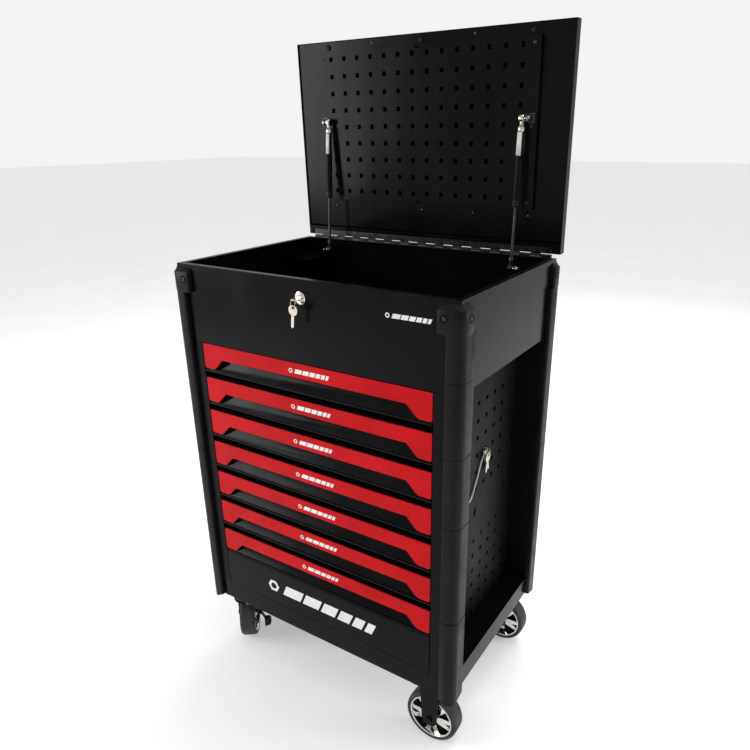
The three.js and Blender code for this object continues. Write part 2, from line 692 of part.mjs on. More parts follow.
function tyre() {
  const half = WHEEL_WIDTH / 2;
  const profile = [
    [HUB_RADIUS + GAP, -half], [WHEEL_RADIUS - 4, -half], [WHEEL_RADIUS, -half + 5],
    [WHEEL_RADIUS, half - 5], [WHEEL_RADIUS - 4, half], [HUB_RADIUS + GAP, half],
    [HUB_RADIUS + GAP, -half],
  ].map(([radius, height]) => [radius * WHEEL_CORNER, height]);
  return turned(profile, Y, [0, 0, WHEEL_RADIUS], WHEEL_SEGMENTS);
}

// A rim with a spoked web: five windows round a bored boss.
function hub() {
  const half = WHEEL_WIDTH / 2 - 2;
  const rim = turned([
    [HUB_RADIUS - 5, -half], [HUB_RADIUS, -half], [HUB_RADIUS, half], [HUB_RADIUS - 5, half],
    [HUB_RADIUS - 5, -half],
  ], Y, [0, 0, 0], WHEEL_SEGMENTS);
  const web = new THREE.Shape().absarc(0, 0, HUB_RADIUS - 4, 0, 2 * Math.PI, false);
  for (let spoke = 0; spoke < 5; spoke += 1) {
    const turn = 2 * Math.PI * spoke / 5 + Math.PI / 2;
    const corners = [[15, -0.35], [43, -0.42], [45, 0], [43, 0.42], [15, 0.35]];
    web.holes.push(new THREE.Path(corners.map(([radius, angle]) => new THREE.Vector2(
      radius * Math.cos(turn + angle),
      radius * Math.sin(turn + angle),
    ))));
  }
  const boss = bar(13, -half, half, Y, [0, 0, 0], 16);
  const bore = bar(AXLE_RADIUS + 0.7, -half - 1, half + 1, Y, [0, 0, 0], 8);
  const lift = new THREE.Matrix4().makeTranslation(0, 0, WHEEL_RADIUS);
  return union([rim, prismY(web, -8, 8), boss]).subtract(bore).transform(lift.toArray());
}

function forkLeg(side, x, top) {
  const inner = WHEEL_WIDTH / 2 + FORK_GAP;
  const shape = new THREE.Shape();
  shape.moveTo(x - FORK_TOP_HALF, top);
  shape.lineTo(x - FORK_FOOT_RADIUS, WHEEL_RADIUS);
  shape.absarc(x, WHEEL_RADIUS, FORK_FOOT_RADIUS, Math.PI, 2 * Math.PI, false);
  shape.lineTo(x + FORK_TOP_HALF, top);
  const from = side > 0 ? inner : -inner - FORK_SHEET;
  return prismY(shape, from, from + FORK_SHEET);
}

function axle(x) {
  const outer = WHEEL_WIDTH / 2 + FORK_GAP + FORK_SHEET;
  const centre = [x, 0, WHEEL_RADIUS];
  return union([
    bar(AXLE_RADIUS, -outer - 2, outer + 2, Y, centre, 8),
    bar(8.5, outer - 0.5, outer + 5, Y, centre, 6),
    bar(8.5, -outer - 5, -outer + 0.5, Y, centre, 6),
  ]);
}

function casterPlate() {
  return block([-45, 45], [-35, 35], [BASE_BOTTOM - GAP - 3, BASE_BOTTOM - GAP]);
}

// A fixed caster's fork is welded to its plate.
function fixedFork() {
  const top = BASE_BOTTOM - GAP - 2;
  return union([casterPlate(), forkLeg(-1, 0, top), forkLeg(1, 0, top), axle(0)]);
}

function swivelPlate() {
  const race = bar(30, BASE_BOTTOM - 15, BASE_BOTTOM - 2, Z, [0, 0, 0], 24);
  return union([casterPlate(), race]);
}

function swivelFork() {
  const crownTop = BASE_BOTTOM - 15 - GAP;
  const crown = crownTop - 5;
  const reach = WHEEL_WIDTH / 2 + FORK_GAP + FORK_SHEET;
  return union([
    bar(32, crown, crownTop, Z, [0, 0, 0], 24),
    block([-CASTER_TRAIL - FORK_TOP_HALF, 10], [-reach, reach], [crown, crown + 3]),
    forkLeg(-1, -CASTER_TRAIL, crown + 3),
    forkLeg(1, -CASTER_TRAIL, crown + 3),
    axle(-CASTER_TRAIL),
  ]);
}

// The brake lever: a plate beside the fork, a bent arm reaching outward and a rounded foot pad.
function brakePedal() {
  const inner = WHEEL_WIDTH / 2 + FORK_GAP + FORK_SHEET + GAP;
  const flange = inner + PEDAL_REACH;
  const plate = outline([[-27, 99], [-23, 106], [-16, 106], [14, 97], [14, 91], [-20, 93]]);
  const arm = outline([
    [inner, 96], [flange - 6, 92], [flange + 2, 76], [flange + 2, 44],
    [flange, 47], [flange, 74], [flange - 7.5, 89], [inner, 92],
  ]);
  const pad = outline([
    [flange + 1, 49], [flange + 13, 52], [flange + 17, 57], [flange + 17, 69],
    [flange + 13, 74], [flange + 1, 74],
  ]);
  return union([prismY(plate, inner, inner + 3), prismX(arm, 2, 14), prismX(pad, 1, 15)]);
}

// ---------------------------------------------------------------- key tie

// A nylon strap through one hole of the right side panel, with a long free tail.
function keyTie() {
  const face = HALF_WIDTH - SIDE_RECESS;
  const [y, z] = [TIE_HOLE_Y, TIE_HOLE_Z];
  const route = [
    [face - 7, y + 2, z - 8], [face - 6, y + 1, z - 1], [face - 1, y + 1, z + 1],
    [face + 5, y, z + 1], [face + 7, y - 4, z], [face + 5, y - 10, z - 5],
    [face + 2.5, y - 18, z - 18], [face + 2.5, y - 40, z - 54],
    [face + 2.5, y - 58, z - 82], [face + 2.5, y - 66, z - 92], [face + 3, y - 77, z - 99],
  ];
  const extrudePath = new THREE.CatmullRomCurve3(route.map((point) => new THREE.Vector3(...point)));
  const strap = outline([[-1.2, -1.2], [1.2, -1.2], [1.2, 1.2], [-1.2, 1.2]]);
  const tail = solidOf(new THREE.ExtrudeGeometry(strap, { steps: 28, extrudePath, bevelEnabled: false }));
  const head = block([face + 2, face + 7], [y - 13, y - 8], [z - 7, z - 1]);
  return union([tail, head]);
}

// ---------------------------------------------------------------- assembly

function placed(children, position, rotation = [0, 0, 0]) {
  const group = new THREE.Group();
  group.add(...children);
  group.position.set(...position);
  group.rotation.set(...rotation);
  return group;
}

function caster(name, x, y, turn) {
  const swivels = turn !== null;
  const wheel = placed(
    [part(`tyre_${name}`, tyre(), tyreRubber), part(`hub_${name}`, hub(), chrome)],
    [swivels ? -CASTER_TRAIL : 0, 0, 0],
  );
  if (!swivels) {
    return placed([wheel, part(`caster_fork_${name}`, fixedFork(), blackPaint)], [x, y, 0]);
  }
  const fork = part(`caster_fork_${name}`, swivelFork(), blackPaint);
  const pedal = part(`brake_pedal_${name}`, brakePedal(), blackPlastic);
  const turning = placed([wheel, fork, pedal], [0, 0, 0], [0, 0, turn]);
  return placed([part(`caster_plate_${name}`, swivelPlate(), galvanised), turning], [x, y, 0]);
}

function strut(name, side) {
  const cosine = Math.cos(LID_OPEN_ANGLE);
  const sine = Math.sin(LID_OPEN_ANGLE);
  const headY = HINGE_Y - STRUT_LID_REACH * cosine - STRUT_LID_DROP * sine;
  const headZ = HINGE_Z + STRUT_LID_REACH * sine - STRUT_LID_DROP * cosine;
  const length = Math.hypot(headY - STRUT_FOOT_Y, headZ - STRUT_FOOT_Z);
  const lean = Math.atan2(headY - STRUT_FOOT_Y, headZ - STRUT_FOOT_Z);
  const rod = part(`strut_rod_${name}`, strutRod(), chrome);
  const cylinder = part(`strut_cylinder_${name}`, strutCylinder(length), blackPaint);
  return placed([rod, cylinder], [side * STRUT_X, STRUT_FOOT_Y, STRUT_FOOT_Z], [-lean, 0, 0]);
}

const cart = new THREE.Group();

cart.add(
  part('base_tray', baseTray(), blackPaint),
  part('top_box', topBox(), blackPaint),
  part('back_panel', backPanel(), blackPaint),
  part('side_panel_left', leftSidePanel(), blackPaint),
  part('side_panel_right', leftSidePanel().mirror([1, 0, 0]), blackPaint),
  part('front_frame', frontFrame(), blackPaint),
  part('kick_panel', kickPanel(), blackPaint),
  part('corner_post_fl', cornerPost(-1, -1), blackPlastic),
  part('corner_post_fr', cornerPost(1, -1), blackPlastic),
  part('corner_post_rl', cornerPost(-1, 1), blackPlastic),
  part('corner_post_rr', cornerPost(1, 1), blackPlastic),
  part('slide_bank_left', slideBank(-1), galvanised),
  part('slide_bank_right', slideBank(1), galvanised),
  part('strut_bracket_left', strutBracket(-1), blackPaint),
  part('strut_bracket_right', strutBracket(1), blackPaint),
  part('key_tie', keyTie(), whiteNylon),
);

for (let index = 0; index < DRAWER_COUNT; index += 1) {
  cart.add(part(`drawer_${index + 1}`, drawer(index), blackPaint));
  cart.add(part(`drawer_trim_${index + 1}`, drawerTrim(index), redPaint));
}

const lid = placed([
  part('lid_pan', lidPan(), blackPaint),
  part('lid_pegboard', lidPegboard(), blackPaint),
  part('hinge_leaf_lid', hingeLeafLid(), galvanised),
  part('lid_stud_left', lidStud(-1), blackPaint),
  part('lid_stud_right', lidStud(1), blackPaint),
], [0, 0, 0], [-LID_OPEN_ANGLE, 0, 0]);
cart.add(placed([part('hinge_leaf_body', hingeLeafBody(), galvanised), lid], [0, HINGE_Y, HINGE_Z]));

cart.add(strut('left', -1), strut('right', 1));

cart.add(placed([
  part('lock_barrel', lockBarrel(), chrome),
  part('lock_plug_with_key', lockPlugWithKey(), nickel),
], [0, -HALF_DEPTH, LOCK_Z]));

// The spare key's ring passes through the bow of the key in the lock.
const spareKey = union([keyRing(SPARE_RING), hangingKey(SPARE_RING, 0, 0.12)]);
cart.add(placed([part('spare_key', spareKey, nickel)], [0, -HALF_DEPTH - 23.5, LOCK_Z - 5.1]));

// Two more keys hang from the tie, facing sideways.
const sideKeys = union([keyRing(6), hangingKey(6, -1.6, 0.2), hangingKey(6, 1.6, -0.25)]);
cart.add(placed(
  [part('side_keys', sideKeys, nickel)],
  [HALF_WIDTH - SIDE_RECESS + 8.3, TIE_HOLE_Y - 4, TIE_HOLE_Z - 2.7],
  [0, 0, Math.PI / 2],
));

cart.add(
  caster('fl', -SWIVEL_CASTER_X, -CASTER_Y, FRONT_LEFT_SWIVEL),
  caster('rl', -SWIVEL_CASTER_X, CASTER_Y, REAR_LEFT_SWIVEL),
  caster('fr', FIXED_CASTER_X, -CASTER_Y, null),
  caster('rr', FIXED_CASTER_X, CASTER_Y, null),
);

export default cart;
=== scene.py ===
"""A black roller tool cart: the looks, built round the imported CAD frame.

Lengths are metres in the row frame: +X right along the drawer front, +Y to the back, +Z up.
"""

import json
import math

import bmesh
import bpy
from mathutils import Matrix, Vector


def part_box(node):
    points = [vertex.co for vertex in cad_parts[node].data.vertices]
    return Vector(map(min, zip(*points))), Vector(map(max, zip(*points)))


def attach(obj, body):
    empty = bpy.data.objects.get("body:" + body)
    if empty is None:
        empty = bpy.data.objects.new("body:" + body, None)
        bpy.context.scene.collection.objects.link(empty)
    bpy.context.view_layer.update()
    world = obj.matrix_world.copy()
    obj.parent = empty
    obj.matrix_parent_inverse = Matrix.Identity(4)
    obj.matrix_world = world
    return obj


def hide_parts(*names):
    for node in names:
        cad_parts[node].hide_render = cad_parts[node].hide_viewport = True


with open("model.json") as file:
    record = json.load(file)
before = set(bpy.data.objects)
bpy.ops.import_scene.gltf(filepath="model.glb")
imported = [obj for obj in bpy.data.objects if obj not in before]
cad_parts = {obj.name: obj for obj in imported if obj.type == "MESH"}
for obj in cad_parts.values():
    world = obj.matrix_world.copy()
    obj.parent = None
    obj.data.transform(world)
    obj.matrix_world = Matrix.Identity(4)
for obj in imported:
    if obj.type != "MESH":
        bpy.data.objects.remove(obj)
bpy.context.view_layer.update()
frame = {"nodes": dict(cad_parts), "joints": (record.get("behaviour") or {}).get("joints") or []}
JOINTS = {joint["name"]: joint for joint in frame["joints"]}

MM = 0.001
UP = Vector((0, 0, 1))
CORNERS = {"fl": (-1, -1), "fr": (1, -1), "rl": (-1, 1), "rr": (1, 1)}
SIDES = {"left": -1, "right": 1}
DRAWERS = range(1, 8)

# The camera stands in front of the cart's right corner, a little above its lid hinge.
CAMERA_PLACE = Vector((0.8316, -1.1965, 1.2995))
CAMERA_AZIMUTH = math.radians(32.856)
CAMERA_ELEVATION = math.radians(21.502)
CAMERA_ROLL = math.radians(-0.598)
CAMERA_LENS = 31.6
CAMERA_SHIFT = (-0.0212, 0.0224)


# ---------------------------------------------------------------- materials


class Paint:
    """A Principled material with helpers for procedural detail in object coordinates."""

    def __init__(self, name, roughness, metallic=0.0, specular=0.5):
        self.material = bpy.data.materials.new(name)
        self.material.use_nodes = True
        self.nodes = self.material.node_tree.nodes
        self.links = self.material.node_tree.links
        self.shader = self.nodes["Principled BSDF"]
        self.shader.inputs["Roughness"].default_value = roughness
        self.shader.inputs["Metallic"].default_value = metallic
        self.shader.inputs["Specular IOR Level"].default_value = specular
        self.place = self.nodes.new("ShaderNodeTexCoord").outputs["Object"]

    def noise(self, scale, detail=3.0, stretch=(1, 1, 1)):
        mapping = self.nodes.new("ShaderNodeMapping")
        mapping.inputs["Scale"].default_value = stretch
        texture = self.nodes.new("ShaderNodeTexNoise")
        texture.inputs["Scale"].default_value = scale
        texture.inputs["Detail"].default_value = detail
        self.links.new(self.place, mapping.inputs["Vector"])
        self.links.new(mapping.outputs["Vector"], texture.inputs["Vector"])
        return texture.outputs["Fac"]

    def span(self, value, low, high, start=0.3, end=0.7):
        """The value, from start to end, mapped on to low to high."""
        mapped = self.nodes.new("ShaderNodeMapRange")
        for socket, number in zip(("From Min", "From Max", "To Min", "To Max"), (start, end, low, high)):
            mapped.inputs[socket].default_value = number
        self.links.new(value, mapped.inputs["Value"])
        return mapped.outputs["Result"]

    def colour(self, value, first, second, start=0.35, end=0.65):
        ramp = self.nodes.new("ShaderNodeValToRGB")
        ramp.color_ramp.elements[0].position = start
        ramp.color_ramp.elements[1].position = end
        ramp.color_ramp.elements[0].color = (*first, 1)
        ramp.color_ramp.elements[1].color = (*second, 1)
        self.links.new(value, ramp.inputs["Fac"])
        self.links.new(ramp.outputs["Color"], self.shader.inputs["Base Color"])
        return self

    def rough(self, value, low, high):
        self.links.new(self.span(value, low, high), self.shader.inputs["Roughness"])
        return self

    def bumps(self, *layers):
        """Stacked bump nodes, each from (height, strength, distance)."""
        normal = None
        for height, strength, distance in layers:
            bump = self.nodes.new("ShaderNodeBump")
            bump.inputs["Strength"].default_value = strength
            bump.inputs["Distance"].default_value = distance
            self.links.new(height, bump.inputs["Height"])
            if normal is not None:
                self.links.new(normal, bump.inputs["Normal"])
            normal = bump.outputs["Normal"]
        self.links.new(normal, self.shader.inputs["Normal"])
        return self


def powder_coat(name, low, high, peel):
    """Black powder coat: orange peel, faint handling smears and a very slight colour drift."""
    paint = Paint(name, low, specular=0.085)
    paint.colour(paint.noise(5, 4), (0.0024, 0.0023, 0.0022), (0.0042, 0.0040, 0.0038))
    paint.rough(paint.noise(9, 6, (1, 1, 0.35)), low, high)
    paint.bumps((paint.noise(260, 2), peel, 0.0004), (paint.noise(11, 2), 0.06, 0.004))
    return paint.material


def moulded_plastic(name, first, second, low, high, grain=0.14, specular=0.11):
    paint = Paint(name, low, specular=specular)
    paint.colour(paint.noise(14, 4), first, second)
    paint.rough(paint.noise(30, 5), low, high)
    paint.bumps((paint.noise(1300, 2), grain, 0.0002), (paint.noise(25, 2), 0.05, 0.001))
    return paint.material


def metal(name, first, second, low, high, stretch=(1, 1, 1), scratches=0.05):
    paint = Paint(name, low, metallic=1.0)
    paint.colour(paint.noise(60, 5), first, second)
    paint.rough(paint.noise(140, 5, stretch), low, high)
    paint.bumps((paint.noise(900, 3, stretch), scratches, 0.0001))
    return paint.material


def rubber(name):
    """Black wheel rubber with a little floor dust in its grain."""
    paint = Paint(name, 0.6)
    paint.colour(paint.noise(70, 7), (0.013, 0.013, 0.013), (0.034, 0.032, 0.029), 0.4, 0.75)
    paint.rough(paint.noise(45, 5), 0.5, 0.8)
    paint.bumps((paint.noise(700, 3), 0.2, 0.0003), (paint.noise(40, 3), 0.1, 0.001))
    return paint.material


def printed(name, first, second):
    paint = Paint(name, 0.4)
    paint.colour(paint.noise(220, 3), first, second)
    paint.rough(paint.noise(90, 3), 0.33, 0.5)
    paint.bumps((paint.noise(900, 2), 0.05, 0.0001))
    return paint.material


BLACK = powder_coat("black powder coat", 0.13, 0.27, 0.10)
DARK = powder_coat("black powder coat, matter", 0.30, 0.44, 0.16)
SIDE = powder_coat("black powder coat, side panels", 0.42, 0.58, 0.16)
RED = moulded_plastic("red satin", (0.44, 0.0030, 0.005), (0.54, 0.0050, 0.008), 0.27, 0.38, 0.05, 0.08)
PLASTIC = moulded_plastic(
    "black moulded plastic", (0.0048, 0.0045, 0.0042), (0.0080, 0.0075, 0.0070), 0.34, 0.46
)
ZINC = metal("zinc plate", (0.34, 0.34, 0.33), (0.52, 0.52, 0.50), 0.28, 0.5)
DARK_STEEL = metal("blackened steel", (0.035, 0.035, 0.036), (0.06, 0.06, 0.06), 0.25, 0.42)
CHROME = metal("chrome", (0.66, 0.65, 0.62), (0.80, 0.79, 0.76), 0.05, 0.13, scratches=0.02)
NICKEL = metal("nickel keys", (0.56, 0.51, 0.41), (0.72, 0.67, 0.56), 0.2, 0.36, (1, 6, 1))
RUBBER = rubber("wheel rubber")
NYLON = moulded_plastic("white nylon", (0.62, 0.62, 0.59), (0.74, 0.74, 0.71), 0.3, 0.42)
PRINT = printed("white print", (0.68, 0.68, 0.67), (0.80, 0.80, 0.79))
# Near-black floors for the screw holes in the post caps: painted shade standing in for the depth of the
# holes.
PAINTED_RECESS_SHADE = moulded_plastic("screw recess", (0.001, 0.001, 0.001), (0.002, 0.002, 0.002), 0.8, 0.95)
LABEL = printed("strut label", (0.58, 0.58, 0.56), (0.72, 0.72, 0.70))


# ---------------------------------------------------------------- mesh helpers


def facing(point, direction):
    """A matrix that puts the origin at point with +Z along direction."""
    return Matrix.Translation(point) @ Vector(direction).to_track_quat("Z", "Y").to_matrix().to_4x4()


def around(angle):
    return Matrix.Rotation(angle, 4, "Z")


def join_rings(bm, rings, closed=True):
    """Faces between successive rings of vertices. A ring of one vertex is a pole."""
    for lower, upper in zip(rings, rings[1:]):
        count = max(len(lower), len(upper))
        for k in range(count if closed else count - 1):
            after = (k + 1) % count
            corners = [lower[k % len(lower)], lower[after % len(lower)]]
            corners += [upper[after % len(upper)], upper[k % len(upper)]]
            corners = list(dict.fromkeys(corners))
            if len(corners) > 2:
                bm.faces.new(corners)


def ring(bm, matrix, radius, height, segments, hexagonal=False, sweep=(0, 2 * math.pi)):
    if radius < 1e-7:
        return [bm.verts.new(matrix @ Vector((0, 0, height)))]
    made = []
    for k in range(segments):
        angle = sweep[0] + (sweep[1] - sweep[0]) * k / segments
        reach = radius
        if hexagonal:
            reach *= math.cos(math.pi / 6) / math.cos(angle % (math.pi / 3) - math.pi / 6)
        point = Vector((reach * math.cos(angle), reach * math.sin(angle), height))
        made.append(bm.verts.new(matrix @ point))
    return made


def lathe(bm, profile, matrix=Matrix.Identity(4), segments=40, hexagonal=()):
    """A solid of revolution round the matrix's Z; levels named in hexagonal get a hexagonal section."""
    rings = [
        ring(bm, matrix, radius * MM, height * MM, segments, index in hexagonal)
        for index, (radius, height) in enumerate(profile)
    ]
    join_rings(bm, rings)


def prism(bm, points, low, high, matrix=Matrix.Identity(4)):
    """A polygon raised from low to high, in millimetres; high may be a function of x and y."""
    floor = [bm.verts.new(matrix @ (Vector((x, y, low)) * MM)) for x, y in points]
    roof = []
    for x, y in points:
        level = high(x, y) if callable(high) else high
        roof.append(bm.verts.new(matrix @ (Vector((x, y, level)) * MM)))
    join_rings(bm, [floor, roof])
    bm.faces.new(list(reversed(floor)))
    bm.faces.new(roof)


def screw(bm, matrix, radius, height):
    """A button-head screw with a hexagonal socket; radius and height in millimetres."""
    head = [(radius, 0), (radius, height * 0.35), (radius * 0.9, height * 0.75), (radius * 0.6, height)]
    socket = [(radius * 0.46, height), (radius * 0.46, height * 0.3), (0, height * 0.3)]
    lathe(bm, head + socket, matrix, 24, hexagonal=(4, 5))


def bolt(bm, matrix, radius, height):
    """A hexagon head on a washer; radius and height in millimetres."""
    washer = [(0, 0), (radius * 1.5, 0), (radius * 1.5, 1), (radius * 1.1, 1.2)]
    lathe(bm, washer, matrix, 24)
    head = [(radius, 1), (radius, height - 1), (radius * 0.88, height), (0, height)]
    lathe(bm, head, matrix, 24, hexagonal=(0, 1))


def piece(name, bm, material, body, bevel=0.0, sharp=40):
    """Ends bm in an object that rides on a CAD body."""
    bmesh.ops.remove_doubles(bm, verts=bm.verts, dist=1e-6)
    bmesh.ops.recalc_face_normals(bm, faces=bm.faces)
    mesh = bpy.data.meshes.new(name)
    bm.to_mesh(mesh)
    bm.free()
    mesh.materials.append(material)
    made = bpy.data.objects.new(name, mesh)
    bpy.context.scene.collection.objects.link(made)
    soften(made, bevel, sharp)
    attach(made, body)
    return made


def soften(thing, bevel, sharp=40):
    """Smooth shading with crisp edges where faces meet at more than sharp degrees."""
    for polygon in thing.data.polygons:
        polygon.use_smooth = True
    if bevel:
        rounding = thing.modifiers.new("rounding", "BEVEL")
        rounding.width = bevel
        rounding.segments = 2
        rounding.limit_method = "ANGLE"
        rounding.angle_limit = math.radians(sharp)
        rounding.use_clamp_overlap = False
        thing.modifiers.new("normals", "WEIGHTED_NORMAL")
    else:
        split = thing.modifiers.new("edges", "EDGE_SPLIT")
        split.split_angle = math.radians(sharp)


def finish_node(node, material, bevel=0.5 * MM):
    """Gives a CAD node its material and softened edges."""
    thing = frame["nodes"][node]
    thing.data.materials.clear()
    thing.data.materials.append(material)
    old_normals = thing.data.attributes.get("custom_normal")
    if old_normals:
        thing.data.attributes.remove(old_normals)
    weld = thing.modifiers.new("weld", "WELD")
    weld.merge_threshold = 1e-5
    soften(thing, bevel)


# ---------------------------------------------------------------- CAD nodes that show as they are

NODE_LOOKS = {
    "base_tray": BLACK,
    "top_box": BLACK,
    "back_panel": BLACK,
    "side_panel_left": SIDE,
    "side_panel_right": SIDE,
    "front_frame": DARK,
    "kick_panel": BLACK,
    "slide_bank_left": DARK_STEEL,
    "slide_bank_right": DARK_STEEL,
    "strut_bracket_left": BLACK,
    "strut_bracket_right": BLACK,
    "key_tie": NYLON,
    "hinge_leaf_body": DARK_STEEL,
    "hinge_leaf_lid": DARK_STEEL,
    "lock_barrel": CHROME,
    "lock_plug_with_key": NICKEL,
    "spare_key": NICKEL,
    "side_keys": NICKEL,
    "lid_pan": BLACK,
    "lid_pegboard": BLACK,
    "lid_stud_left": DARK_STEEL,
    "lid_stud_right": DARK_STEEL,
    "strut_rod_left": DARK_STEEL,
    "strut_rod_right": DARK_STEEL,
    "strut_cylinder_left": DARK,
    "strut_cylinder_right": DARK,
    "caster_plate_fl": DARK_STEEL,
    "caster_plate_rl": DARK_STEEL,
    "caster_fork_fl": DARK,
    "caster_fork_rl": DARK,
    "caster_fork_fr": DARK,
    "caster_fork_rr": DARK,
    "brake_pedal_fl": PLASTIC,
    "brake_pedal_rl": PLASTIC,
}
SMALL_NODES = ("lock", "spare", "side_keys", "strut_rod", "strut_cylinder", "hinge", "key_tie")
for node, look in NODE_LOOKS.items():
    finish_node(node, look, 0.2 * MM if node.startswith(SMALL_NODES) else 0.5 * MM)
for number in DRAWERS:
    finish_node(f"drawer_{number}", BLACK, 0.4 * MM)
    finish_node(f"drawer_trim_{number}", RED, 0.9 * MM)


# ---------------------------------------------------------------- corner posts

POST_INNER = (350.3, 230.3)
POST_BULGE = 10.2
POST_RADIUS = 20
POST_COLUMN = (325, 191)
POST_CAP = (308, 201)
POST_TOE_REACH = 30
CAP_HEIGHT = 55
CROWN_HEIGHT = 10
PARTINGS = (369, 593, 742, 890)
CAP_SCREWS = (323, 213)
CAP_SCREW_DROP = 26


def post_outline(grow, front_x, side_y):
    """The section of a post in its own quarter, in millimetres, walked from its inner corner."""
    inner_x, inner_y = POST_INNER
    outer_x = inner_x + POST_BULGE + grow
    outer_y = inner_y + POST_BULGE + grow
    points = [(inner_x, inner_y), (front_x - grow, inner_y)]

    def arc(centre_x, centre_y, radius, start, end, steps):
        for step in range(steps + 1):
            angle = math.radians(start + (end - start) * step / steps)
            points.append((centre_x + radius * math.cos(angle), centre_y + radius * math.sin(angle)))

    arc(front_x - grow + 4, outer_y - 4, 4, 180, 90, 4)
    arc(outer_x - POST_RADIUS, outer_y - POST_RADIUS, POST_RADIUS, 90, 0, 12)
    arc(outer_x - 4, side_y - grow + 4, 4, 0, -90, 4)
    points.append((inner_x, side_y - grow))
    return points


def toe_share(x, y):
    """How far the foot of a post dips at a point: fully at its outer corner, not at all at its ends."""
    away = (POST_INNER[0] + POST_BULGE - x) + (POST_INNER[1] + POST_BULGE - y)
    return max(0.0, 1 - (away / POST_TOE_REACH) ** 2)


def build_post(name, side_x, side_y):
    """A post with parting grooves, a cap that reaches further round the corner, and a dipped toe."""
    low, high = (corner.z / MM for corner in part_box(f"corner_post_{name}"))
    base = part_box("base_tray")[0].z / MM
    crown = high - CROWN_HEIGHT
    head = high - CAP_HEIGHT
    levels = [(base, -1.0, POST_COLUMN), (base + 1.5, 0, POST_COLUMN)]
    for parting in PARTINGS:
        for offset, grow in ((-1.4, 0), (-0.9, -0.8), (0.9, -0.8), (1.4, 0)):
            levels.append((parting + offset, grow, POST_COLUMN))
    levels.append((head, 0, POST_COLUMN))
    levels += [(head + 1.5, 0.2, POST_CAP), (head + 2.5, 0.5, POST_CAP), (crown - 1, 0.5, POST_CAP)]
    bm = bmesh.new()
    rings = []
    for height, grow, (front_x, end_y) in levels:
        outline = post_outline(grow, front_x, end_y)
        dip = (base - low) * (height <= base + 1.5)
        rings.append([
            bm.verts.new(Vector((side_x * x, side_y * y, height - dip * toe_share(x, y))) * MM)
            for x, y in outline
        ])
    for grow, lift in ((-0.6, 1.2), (-2.0, 2.4)):
        top = []
        for x, y in post_outline(grow, *POST_CAP):
            inside = x - POST_INNER[0] < 0.01 and y - POST_INNER[1] < 0.01
            inside = inside or x <= POST_INNER[0] and y <= POST_INNER[1]
            height = crown + 9.6 if inside else crown + lift
            top.append(bm.verts.new(Vector((side_x * x, side_y * y, height)) * MM))
        rings.append(top)
    join_rings(bm, rings)
    ends = [bm.faces.new(rings[0]), bm.faces.new(rings[-1])]
    bmesh.ops.triangulate(bm, faces=ends)
    made = piece(f"post_{name}", bm, PLASTIC, "cabinet", sharp=50)
    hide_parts(f"corner_post_{name}")

    bm = bmesh.new()
    recess_shade_floors = bmesh.new()
    fixings = bmesh.new()
    outer = POST_BULGE + 0.5
    height = high - CAP_SCREW_DROP
    front_x, end_y = CAP_SCREWS
    spots = [
        (Vector((side_x * front_x, side_y * (POST_INNER[1] + outer), height)), Vector((0, side_y, 0))),
        (Vector((side_x * (POST_INNER[0] + outer), side_y * end_y, height)), Vector((side_x, 0, 0))),
    ]
    for point, direction in spots:
        seat = facing(point * MM, direction)
        lathe(bm, [(9.2, -0.5), (9.0, 0.3), (8.5, 0.8), (7.8, 0.8), (7.0, 0.2), (6.8, -0.5)], seat)
        # A near-black disc closes each boss: painted shade in place of a deep screw hole.
        lathe(recess_shade_floors, [(7.2, -0.5), (7.2, 0.2), (0, 0.15)], seat)
        screw(fixings, seat @ Matrix.Translation((0, 0, 0.2 * MM)), 4.2, 0.9)
    piece(f"post_bosses_{name}", bm, PLASTIC, "cabinet")
    piece(f"post_recesses_{name}", recess_shade_floors, PAINTED_RECESS_SHADE, "cabinet")
    piece(f"post_screws_{name}", fixings, DARK_STEEL, "cabinet")


for corner, (sign_x, sign_y) in CORNERS.items():
    build_post(corner, sign_x, sign_y)


# ---------------------------------------------------------------- wheels

SPOKES = 5
CORE_RIBS = 10


def spoke_face(x, y):
    """The height of a spoke's face, which slopes in from the boss to the rim."""
    return 14.5 - 6 * ((math.hypot(x, y) - 13) / 36) ** 1.4


def star_spoke(turn):
    """A spoke that splits into two arms towards the rim."""
    half = [(33, 0.0), (49, 0.10), (49, 0.31), (26, 0.45), (13, 0.58)]
    walk = [(radius, -angle) for radius, angle in reversed(half[1:])] + half
    return [(radius * math.cos(turn + angle), radius * math.sin(turn + angle)) for radius, angle in walk]


